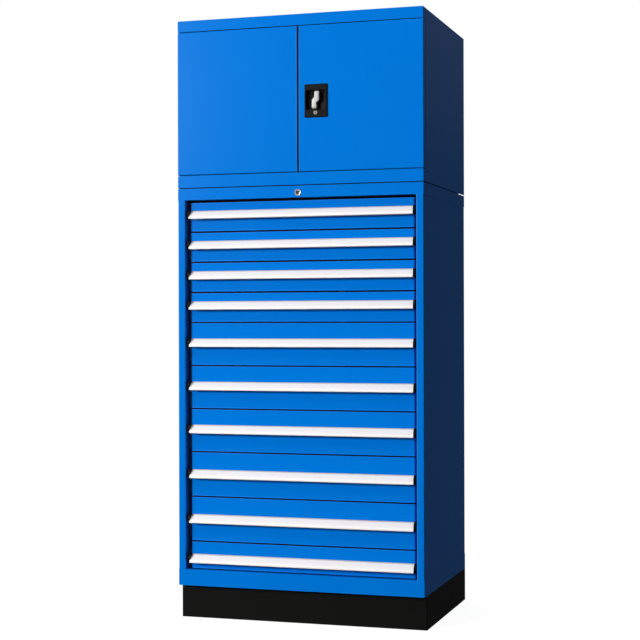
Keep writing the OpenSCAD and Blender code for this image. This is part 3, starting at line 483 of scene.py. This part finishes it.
def bar_skin(axis, low, high, soft=0.3):
    """A bar between two corners with softened long edges, carried along one axis."""
    low, high = np.asarray(low, float), np.asarray(high, float)
    others = [n for n in range(3) if n != axis]
    section = round_box((low + high)[others] / 2, (high - low)[others], soft, steps=3)
    return on_axis(axis, section, [low[axis], high[axis]])


# %% Skins
MM = 0.001
SHARP_ANGLE = math.radians(32.0)


def skin_faces(rings, hoop):
    """Faces of one skin: a four-sided one between each ring and the next, and one at either end
    unless it is a hoop. Where the enclosed volume, the sum of a . (b x c) over the faces'
    triangles, is negative, the faces are turned to point outwards."""
    count, around = rings.shape[:2]
    i, j = np.meshgrid(np.arange(count if hoop else count - 1), np.arange(around), indexing="ij")
    i2, j2 = (i + 1) % count, (j + 1) % around
    quads = np.stack([i * around + j, i * around + j2, i2 * around + j2, i2 * around + j], -1)
    quads = quads.reshape(-1, 4)
    first = np.arange(around)
    ends = [] if hoop else [first[::-1], first + (count - 1) * around]
    flat = rings.reshape(-1, 3)
    a, b, c, d = (flat[quads[:, corner]] for corner in range(4))
    volume = np.sum(a * (np.cross(b, c) + np.cross(c, d)))
    volume += sum(np.sum(np.cross(flat[e[1:-1]], flat[e[2:]]) @ flat[e[0]]) for e in ends)
    blocks = [quads, *(end[None] for end in ends)]
    return blocks if volume > 0 else [block[:, ::-1] for block in blocks]


def skinned(name, *skins):
    """One mesh in metres from several skins of rings (ring, point, xyz) in millimetres. A skin
    whose last ring is the first again is a closed hoop."""
    points, faces, offset = [], [], 0
    for rings in skins:
        rings = np.asarray(rings, float) * MM
        hoop = np.allclose(rings[0], rings[-1])
        rings = rings[:-1] if hoop else rings
        faces += [face for block in skin_faces(rings, hoop) for face in (block + offset).tolist()]
        points.append(rings.reshape(-1, 3))
        offset += len(points[-1])
    mesh = bpy.data.meshes.new(name)
    mesh.from_pydata(np.concatenate(points).tolist(), [], faces)
    mesh.polygons.foreach_set("use_smooth", np.ones(len(mesh.polygons), dtype=bool))
    mesh.set_sharp_from_angle(angle=SHARP_ANGLE)
    mesh.update()
    return mesh


def fitted(name, body, slot, material, *skins, replaced=()):
    """A finished piece: skins in a mesh, with its material, its body and the solids it stands for."""
    piece = add_object(name, skinned(name, *skins))
    piece.data.materials.append(material)
    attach(piece, body)
    if replaced:
        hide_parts(*replaced)
    return piece


def box_mm(name):
    """Lowest and highest corner of a working solid, in millimetres."""
    low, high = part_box(name)
    return np.array(low) / MM, np.array(high) / MM


# %% [markdown]
# ## Drawer handles
# Each handle is a drawn aluminium bar across the whole drawer: a flat back, a sloping face with a
# channel for a label, and an upright lip with a finger hollow behind it. A paper-white strip lies
# in the channel and stops short of both ends, and black moulded caps close the bar. The bar and
# the strip are one profile each, carried along X, and the caps are the profile's outer curve.


# %% Handle profiles
SLOPE_TOP = np.array([-3.2, -2.6])


def slope_foot(reach, height):
    """Where the handle's sloping face ends, above the lip."""
    return np.array([-reach + 3.4, -height + 7.7])


def handle_outline(reach, height):
    """The bar's Y-Z outline from its top at the drawer front, round the lip and up the hollow."""
    r, h = reach, height
    outer = [(0, 0), (-2.5, 0), (-4, -1.6), SLOPE_TOP, slope_foot(r, h), (-r + 2.2, -h + 7.9)]
    lip = [(-r + 0.4, -h + 6.1), (-r, -h + 4.9), (-r, -h + 1.4), (-r + 1.2, -h), (-r + 1.9, -h)]
    hollow = [(-r + 1.9, -h + 3.7), (-r + 3.4, -h + 5.5), (-3.6, -4.8), (-1.8, -5.2), (-1.8, -h), (0, -h)]
    return rounded(outer + lip + hollow, 0.25)


def strip_outline(reach, height):
    """The label strip's section: a bar 0.7 thick on the slope, between the channel's two edges."""
    foot = slope_foot(reach, height)
    along = (foot - SLOPE_TOP) / np.linalg.norm(foot - SLOPE_TOP)
    out = np.array([along[1], -along[0]])
    a = SLOPE_TOP + 0.5 * along + 0.05 * out
    b = foot - 0.6 * along + 0.05 * out
    return rounded([a, b, b + 0.7 * out, a + 0.7 * out], 0.2)


def bead_outline():
    """The rounded bead along the bar's top edge, just proud of it; its darker aluminium is painted shade.
    """
    return rounded([(-0.4, 0.15), (-2.7, 0.15), (-4.3, -1.6), (-3.4, -2.7), (-0.4, -2.7)], 0.35)


def cap_rings(inner, outer, height, radius):
    """A cap between two X places: a circle cut off at the drawer front, at the top and at the
    bottom, whose outer rim shrinks in three steps to a rounded edge."""
    rise = 1.5
    angle = np.linspace(0.0, 2 * math.pi, 96, endpoint=False)
    y = np.clip(-7.0 + radius * np.cos(angle), None, 0.0)
    z = np.clip(rise - 0.85 * radius + radius * np.sin(angle), -height, rise)
    outline = np.stack([y, z], -1)
    moved = np.linalg.norm(outline - np.roll(outline, 1, axis=0), axis=1) > 1e-6
    outline = outline[moved]
    inward = outline.mean(axis=0) - outline
    inward /= np.linalg.norm(inward, axis=1, keepdims=True)
    insets = np.array([0.0, 0.0, 0.35, 1.4])
    side = np.sign(outer - inner)
    places = [inner, outer - 1.4 * side, outer - 0.5 * side, outer]
    return on_axis(0, outline + insets[:, None, None] * inward, places)


# %% Ten handles
DRAWERS = [f"drawer_{n:02d}" for n in range(1, 11)]
BAR_SHIFT = (2.6, 0.6)  # how far right of the solid's two ends the bar starts and stops
LEFT_CAP = 7.0

for drawer in DRAWERS:
    low, high = box_mm(f"{drawer}_handle")
    cap_stop = box_mm(f"{drawer}_end_caps")[1][0]
    reach, height = (high - low)[1:]
    corner = np.array([0.0, high[1], high[2]])
    start, stop = low[0] + BAR_SHIFT[0], high[0] + BAR_SHIFT[1]
    bar = on_axis(0, handle_outline(reach, height), [start, stop]) + corner
    bead = on_axis(0, bead_outline(), [start + 0.5, stop - 4.0]) + corner
    strip = on_axis(0, strip_outline(reach, height), [start + 3.0, stop - 7.0]) + corner
    caps = [cap_rings(start, start - LEFT_CAP, height, 15.5) + corner]
    caps += [cap_rings(stop, cap_stop, height, 16.5) + corner]
    # The top bead's darker aluminium is painted shade along the bar's top edge.
    bare, edge_shade, paper = (finish[name] for name in ("aluminium", "painted_shade_aluminium", "label_strip"))
    black = finish["black_plastic"]
    fitted(f"{drawer}_bar", drawer, "aluminium", bare, bar, replaced=[f"{drawer}_handle"])
    fitted(f"{drawer}_top_bead", drawer, "aluminium", edge_shade, bead)
    fitted(f"{drawer}_label_strip", drawer, "aluminium", paper, strip)
    fitted(f"{drawer}_caps", drawer, "black_plastic", black, *caps, replaced=[f"{drawer}_end_caps"])
print("handles:", len(DRAWERS), "reach and height:", round(reach, 1), round(height, 1))

# %% [markdown]
# ## Painted shade in the gaps
# Every gap in the front reads as a black line, because a soft black strip is laid behind it as
# painted shade: on the top edge of each drawer front, on the sill and under the ceiling behind the
# doors, on the doors' closing edges, and between the two units. Each is a bar with soft corners, a
# little thinner than its gap, so that nothing rubs when a drawer or door moves. The drawer fronts'
# upper and lower edges are rolled, and the roll is a slim bead beside the strip: its rounded shape
# catches real light, and its lighter, glossier blue adds a painted highlight.

# %% Places taken from the solids
face_y = box_mm("top_cap")[0][1]
half_w = box_mm("top_cap")[1][0]
front_x = box_mm("drawer_01_handle")[1][0]
door_edge = -box_mm("left_door")[1][0]
unit_low = box_mm("lower_shell")[1][2]
unit_high = unit_low + 3.0
door_low = unit_low + 41.0
door_high = box_mm("top_cap")[0][2] - 3.5
print("gap between the units:", unit_low, unit_high, "doors:", door_low, door_high)

# %% Painted shade strips and highlighted rolled edges of the drawers
# How far each painted shade strip hangs over the front's top edge and rises above it: the gap over
# the first drawer is the widest, and those over the next three look wider than the rest.
SHADE_STRIP_SPANS = {drawer: (1.2, 1.0) for drawer in DRAWERS}
SHADE_STRIP_SPANS.update({drawer: (2.0, 1.0) for drawer in DRAWERS[1:4]})
SHADE_STRIP_SPANS[DRAWERS[0]] = (2.4, 3.6)
ROLL = 2.4  # height of a rolled edge
shade_strip_x = front_x + 3.5
roll_x = front_x - 0.4

for drawer in DRAWERS:
    low, high = box_mm(drawer)
    below, above = SHADE_STRIP_SPANS[drawer]
    edge = high[2] - below
    strip = bar_skin(0, (-shade_strip_x, low[1] - 0.3, edge), (shade_strip_x, low[1] + 12.0, high[2] + above))
    rolls = [
        bar_skin(0, (-roll_x, low[1] - 0.25, z), (roll_x, low[1] + 0.6, z + ROLL), soft=0.35)
        for z in (edge - ROLL, low[2])
    ]
    # Painted shade: the near-black strip behind the gap over this drawer.
    fitted(f"{drawer}_top_gap_painted_shade", drawer, "black_plastic", finish["painted_shade_black"], strip)
    # Painted highlight: the rolled edges are in the lighter, glossier blue.
    fitted(f"{drawer}_fold_highlights", drawer, "blue_paint", finish["painted_highlight_blue"], *rolls)
print("drawer strips:", len(DRAWERS))

# %% Painted shade strips of the cupboard
sill_x = half_w - 26.0
# Painted shade: each strip here is near-black and stands for the shade in a gap.
strip = bar_skin(0, (3.0 - half_w, face_y + 2.5, unit_low), (half_w - 3.0, face_y + 14.0, unit_high))
fitted("unit_gap_painted_shade", "cabinet", "black_plastic", finish["painted_shade_black"], strip)
sill = bar_skin(0, (-sill_x, face_y + 0.6, door_low - 2.0), (sill_x, face_y + 18.0, door_low - 0.8))
ceiling = bar_skin(0, (-sill_x, face_y + 0.8, door_high + 0.6), (sill_x, face_y + 18.0, door_high + 2.0))
fitted("door_gap_painted_shade", "cabinet", "black_plastic", finish["painted_shade_black"], sill, ceiling)
left = bar_skin(
    2, (1.0 - door_edge, face_y + 0.8, door_low + 1.0), (2.0 - door_edge, face_y + 20.0, door_high - 1.0)
)
right = bar_skin(
    2, (door_edge - 0.4, face_y - 0.2, door_low + 0.4), (door_edge + 0.9, face_y + 3.0, door_high - 0.4)
)
fitted("left_door_edge_painted_shade", "left_door", "black_plastic", finish["painted_shade_black"], left)
fitted("right_door_edge_painted_shade", "right_door", "black_plastic", finish["painted_shade_black"], right)
print("cupboard strips: sill, ceiling, two door edges and the line between the units")

# %% [markdown]
# ## Folded edges
# Where sheet is folded, the coat runs round a small radius, and that radius catches the light as
# a thin pale line: on the doors' closing edges and on the posts beside the drawers. Each is a
# slim bar with a rounded front, laid over the sharp edge of the solid; those on the right door and
# the posts are a paler blue than the coat, a painted highlight. The posts' beads keep clear of the
# slides, which run out between them. On the sides a pressed line runs back from the top rail, as a
# bar in the lighter edge blue, a painted highlight, and dark blue bars along the cap and the doors'
# edges are painted shade in the seams.

# %% Door and post edges
post_x = box_mm("drawer_01_slides")[1][0] + 1.0
frame_low = box_mm("drawer_10")[0][2] - 4.0
frame_high = box_mm("drawer_01")[1][2] + 5.0

left = bar_skin(
    2, (-door_edge - 2.0, face_y - 0.1, door_low), (1.4 - door_edge, face_y + 21.0, door_high), soft=0.5
)
right = bar_skin(
    2, (door_edge + 0.7, face_y - 0.4, door_low), (door_edge + 3.2, face_y + 3.0, door_high), soft=1.2
)
fitted("left_door_fold", "left_door", "blue_paint", finish["blue_paint"], left)
# Painted highlight: the right door's closing edge is in the paler blue.
fitted("right_door_fold_highlight", "right_door", "blue_paint", finish["painted_highlight_pale_blue"], right)

right = bar_skin(
    2, (post_x, face_y - 0.4, frame_low), (post_x + 3.6, face_y + 3.0, frame_high), soft=1.2
)
left = bar_skin(
    2, (-post_x - 1.2, face_y + 0.4, frame_low + 1.0), (-post_x - 0.2, face_y + 13.0, frame_high - 1.0)
)
# Painted highlight: both post beads are in the paler blue.
fitted("post_fold_highlights", "cabinet", "blue_paint", finish["painted_highlight_pale_blue"], right, left)
print("posts at", round(post_x, 1), "from", frame_low, "to", frame_high)

# %% Lines on the sides: a painted highlight and painted shade in the seams
side_in, side_out = half_w - 1.6, half_w - 0.4
back_y = cad_high.y / MM
cap_z = box_mm("top_cap")[0][2]


def on_both_sides(axis, low, high):
    """The same bar on the left and on the right side, from its low and high Y and Z."""
    return [bar_skin(axis, (side * side_in, *low), (side * side_out, *high)) for side in (-1, 1)]


line = on_both_sides(1, (face_y + 1.0, frame_high - 0.6), (back_y - 1.0, frame_high + 0.8))
under_cap = on_both_sides(1, (face_y + 24.0, cap_z - 1.6), (back_y - 1.0, cap_z - 0.4))
beside_door = on_both_sides(2, (face_y + 22.6, unit_high + 1.0), (face_y + 25.0, cap_z - 1.6))
# Painted highlight: the line along each side is in the lighter edge blue.
fitted("side_line_highlights", "cabinet", "blue_paint", finish["painted_highlight_blue"], *line)
# Painted shade: the seams under the cap and beside the doors are a dark blue.
fitted("side_seam_shades", "cabinet", "blue_paint", finish["painted_shade_seam_blue"], *under_cap, *beside_door)
print("side lines at", round(frame_high, 1), "and", round(cap_z, 1))

# %% [markdown]
# ## Pan, grip and locks
# The turn handle sits in a moulded pan: a bevelled flange, a square hollow and a shallow body
# behind the door; the flange's bevelled border is a darker black, painted shade. The grip is a cast
# bar with a step in the middle, so its two arms lie side by side, and both locks have a turned rim,
# a plug and a key slot; plug and slot are a near-black chrome, painted shade. The pan and the locks
# are rings that face the front; the grip is a stack of sections from its lower end to its upper end.

# %% Pan
pan_low, pan_high = box_mm("handle_pan")
grip_low, grip_high = box_mm("turn_grip")
grip_x, grip_z = (grip_low + grip_high)[[0, 2]] / 2
pan_centre = (pan_low + pan_high)[[0, 2]] / 2
pan_w, pan_h = (pan_high - pan_low)[[0, 2]]
body_centre, hollow_centre = (grip_x, pan_centre[1]), (grip_x, grip_z)
body_w, body_h = 63.0, pan_h - 8.4

# Rows of centre, width, height, corner radius and depth behind the face, from the body's back
# round the flange and into the hollow.
pan_table = [
    (body_centre, body_w, body_h, 2.0, 14.0),
    (body_centre, body_w, body_h, 2.0, 0.0),
    (pan_centre, pan_w, pan_h, 4.0, 0.0),
    (pan_centre, pan_w, pan_h, 4.0, -0.7),
    (pan_centre, pan_w - 0.5, pan_h - 0.5, 4.0, -1.2),
    (pan_centre, pan_w - 2.4, pan_h - 2.4, 3.6, -2.0),
    (hollow_centre, 60.2, 58.2, 3.6, -2.0),
    (hollow_centre, 59.3, 57.3, 3.2, -1.6),
    (hollow_centre, 59.0, 57.0, 3.0, -0.8),
    (hollow_centre, 58.6, 56.6, 3.0, 10.4),
    (hollow_centre, 57.4, 55.4, 3.0, 11.6),
    (hollow_centre, 54.0, 52.0, 3.0, 12.0),
]
level = np.array([0.0, face_y, 0.0])
pan = facing_front([row[0] for row in pan_table], [row[1:] for row in pan_table]) + level
fitted("door_pan", "right_door", "black_plastic", finish["black_plastic"], pan, replaced=["handle_pan"])
print("pan:", round(pan_w, 1), "x", round(pan_h, 1))

# %% The pan's border
# The same kind of rows, but with what the width and the height fall short of the pan's. The last
# row is the first again, so the border is a closed hoop.
inner = pan_centre - (1.2, 0.0)
border_table = [
    (pan_centre, 0.0, 0.0, 4.0, -0.1),
    (pan_centre, 0.0, 0.0, 4.0, -1.2),
    (pan_centre, 1.4, 1.4, 3.6, -2.1),
    (inner, 6.4, 4.6, 2.6, -2.1),
    (inner, 6.6, 4.8, 2.5, -1.6),
    (pan_centre, 0.0, 0.0, 4.0, -0.1),
]
rows = [(pan_w - short_x, pan_h - short_z, radius, y) for _, short_x, short_z, radius, y in border_table]
border = facing_front([row[0] for row in border_table], rows) + level
# Painted shade: the border is the near-black shade paint, darker than the pan, round the flange's
# bevelled edge.
fitted("door_pan_shaded_border", "right_door", "black_plastic", finish["painted_shade_black"], border)
print("border:", len(border) - 1, "rings")


# %% Grip
GRIP_LENGTH = 51.0
ARM_WIDTH = 13.5
ARM_STEP = 7.5


def grip_sections(length, width, step):
    """Sections of the stepped grip at many heights z: its left side moves from -step/2 - width/2
    over to step/2 - width/2 as z rises from 1 to 7.5, and its right side is the left one turned
    half a circle. The corners are cut by 0.8, and the front drops back by 3 over the last 4.5."""
    half, s, w = length / 2, step / 2, width / 2
    bends = [half - 0.8, half - 4.5, 7.5, 1.0]
    z = np.unique(np.concatenate([np.linspace(-half, half, 25), bends, np.negative(bends)]))
    shrink = np.clip(np.abs(z) - (half - 0.8), 0.0, None)
    left = np.interp(z, [1.0, 7.5], [-s - w, s - w]) + shrink
    right = -np.interp(-z, [1.0, 7.5], [-s - w, s - w]) - shrink
    front = -4.0 + 3.0 * np.clip((np.abs(z) - (half - 4.5)) / 4.5, 0.0, 1.0) ** 1.5
    centre = np.stack([(left + right) / 2, (front + 8.0) / 2], -1)
    size = np.stack([right - left, 8.0 - front], -1)
    return on_axis(2, round_box(centre, size, np.full(len(z), 0.8), steps=4), z)


def pinion_rings(radius, teeth, y0, y1):
    """A small pinion: the radius swells and sinks once a tooth, with flattened tips and roots."""
    angle = np.linspace(0.0, 2 * math.pi, teeth * 12, endpoint=False)
    r = radius + 1.1 * np.clip(1.8 * np.cos(teeth * angle), -1.0, 1.0)
    return on_axis(1, np.stack([r * np.cos(angle), r * np.sin(angle)], -1), [y0, y1])


def circles(table):
    """Rows of diameter and depth as rows of width, height, corner radius and depth."""
    return [(d, d, d / 2, y) for d, y in table]


spindle_table = circles([(16, 7.9), (16, 11.7), (10, 11.7), (10, 26.5), (8, 26.5), (8, 38)])
grip_parts = [
    grip_sections(GRIP_LENGTH, ARM_WIDTH, ARM_STEP),
    facing_front((0.0, 0.0), spindle_table),
    pinion_rings(9.55, 12, 27.0, 35.0),
]
grip_parts = [rings + np.array([grip_x, face_y, grip_z]) for rings in grip_parts]
fitted("grip", "turn_grip", "cast_zinc", finish["cast_zinc"], *grip_parts, replaced=["turn_grip"])
print("grip:", grip_parts[0].shape[0], "sections")

# %% Central lock
lock_low, lock_high = box_mm("lock_barrel")
lock_at = (0.0, (lock_low[2] + lock_high[2]) / 2)
rim = [(20.1, 0.0), (20.1, -1.0), (19.5, -1.7), (18.2, -2.2), (15.6, -2.25), (14.2, -2.0), (13.2, -1.2)]
rim += [(13.0, -0.1)]
plug = [(12.1, -0.2), (12.1, -2.3), (11.4, -2.7), (10.0, -2.75), (9.2, -2.5), (8.6, -2.55), (8.2, -2.7)]
key_slot = [(2.4, 7.6, 1.2, -2.7), (1.7, 7.0, 0.85, -2.5), (1.6, 6.8, 0.8, -1.0)]
rim = facing_front(lock_at, circles(rim)) + level
plug = facing_front(lock_at, circles(plug) + key_slot) + level
fitted("lock_rim", "cabinet", "chrome", finish["satin_chrome"], rim)
# Painted shade: the plug and key slot are the near-black chrome.
fitted("lock_face", "lock_shaft", "chrome", finish["painted_shade_chrome"], plug)
print("central lock at", lock_at)

# %% Pan lock
PLUG_RADIUS = 6.25
pan_lock_at = (grip_x, box_mm("pan_lock_plug")[1][2] - PLUG_RADIUS)
rim = [(10.8, -1.3), (10.8, -3.0), (10.2, -3.3), (8.8, -3.45), (7.0, -3.4), (6.0, -3.1)]
plug = [(5.8, -2.9), (5.6, -3.2), (5.2, -3.3)]
key_slot = [(1.8, 4.2, 0.9, -3.3), (1.3, 3.8, 0.65, -3.1), (1.2, 3.6, 0.6, -2.0)]
rim = facing_front(pan_lock_at, circles(rim)) + level
plug = facing_front(pan_lock_at, circles(plug) + key_slot) + level
fitted("pan_lock_rim", "pan_lock_plug", "chrome", finish["dull_zinc"], rim)
# Painted shade: the plug and key slot are the near-black chrome.
fitted("pan_lock_face", "pan_lock_plug", "chrome", finish["painted_shade_chrome"], plug)
print("pan lock at", pan_lock_at)
